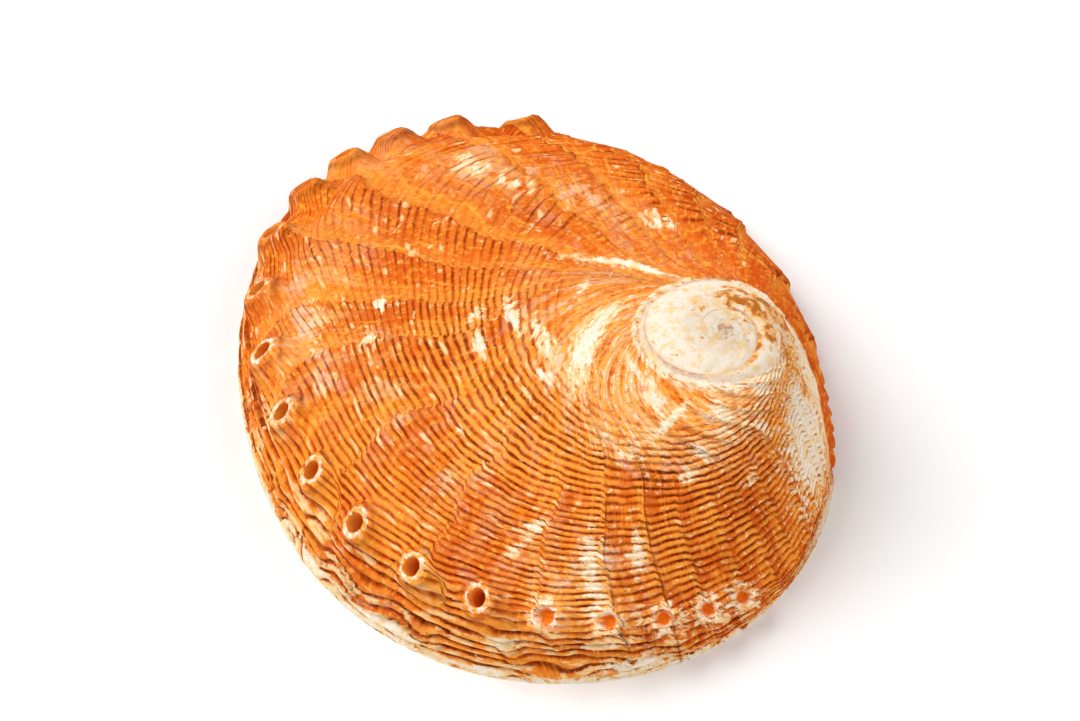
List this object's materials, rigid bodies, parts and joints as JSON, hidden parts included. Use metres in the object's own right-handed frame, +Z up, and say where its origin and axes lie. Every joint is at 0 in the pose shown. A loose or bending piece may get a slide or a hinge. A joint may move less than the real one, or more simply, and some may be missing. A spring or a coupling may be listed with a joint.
{
  "type": "abalone shell",
  "caption": "Ear-shaped sea shell lying on its rim, with a low spire, ribbed orange back, a curved row of raised breathing holes, and a pearly hollow below a flat inner ledge.",
  "frame": {"origin": "middle of the oval rim, on the plane that the rim rests on", "axes": "+Z up from the rim, +Y along the shell towards the growing end, +X towards the side of the spire"},
  "size_m": [0.0622, 0.0809, 0.0234],
  "materials": {
    "shell": "ribbed orange and cream back, worn white spire, pearly underside"
  },
  "bodies": {
    "root": {"shell": "shell"}
  },
  "joints": []
}
